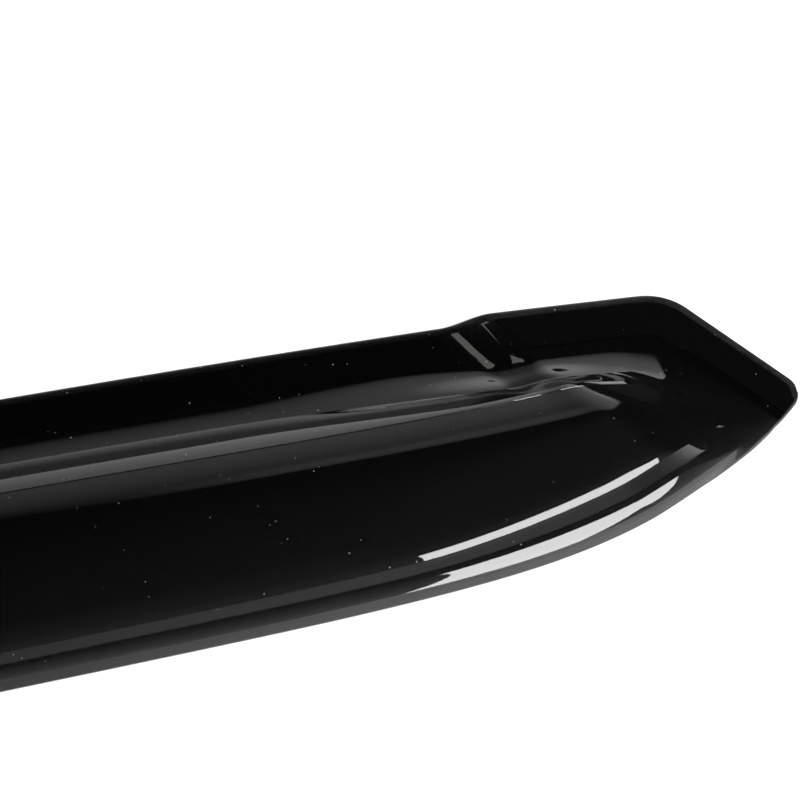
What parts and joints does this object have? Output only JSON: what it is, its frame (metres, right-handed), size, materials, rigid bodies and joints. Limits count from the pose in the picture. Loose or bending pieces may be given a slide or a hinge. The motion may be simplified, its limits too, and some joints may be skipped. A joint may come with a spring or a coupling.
{
  "type": "window rain deflector",
  "caption": "Long smoked gloss window deflector blade with a taped roof flange, a stepped riser, a rolled lower lip and a raised end tab.",
  "frame": {"origin": "middle of the blade's plan, on the plane of the release liner that it rests on", "axes": "+X along the blade towards the end tab, +Y towards the roof edge, +Z out of the door"},
  "size_m": [0.72, 0.1012, 0.0187],
  "materials": {
    "smoked_acrylic": "high gloss, dark smoke tint",
    "foam_tape": "matt closed-cell foam",
    "release_liner": "satin red film"
  },
  "bodies": {
    "root": {"deflector_shell": "smoked_acrylic", "roof_edge_tape": "foam_tape", "roof_edge_liner": "release_liner", "tab_tape": "foam_tape", "tab_liner": "release_liner", "end_tape": "foam_tape", "end_liner": "release_liner"}
  },
  "joints": []
}
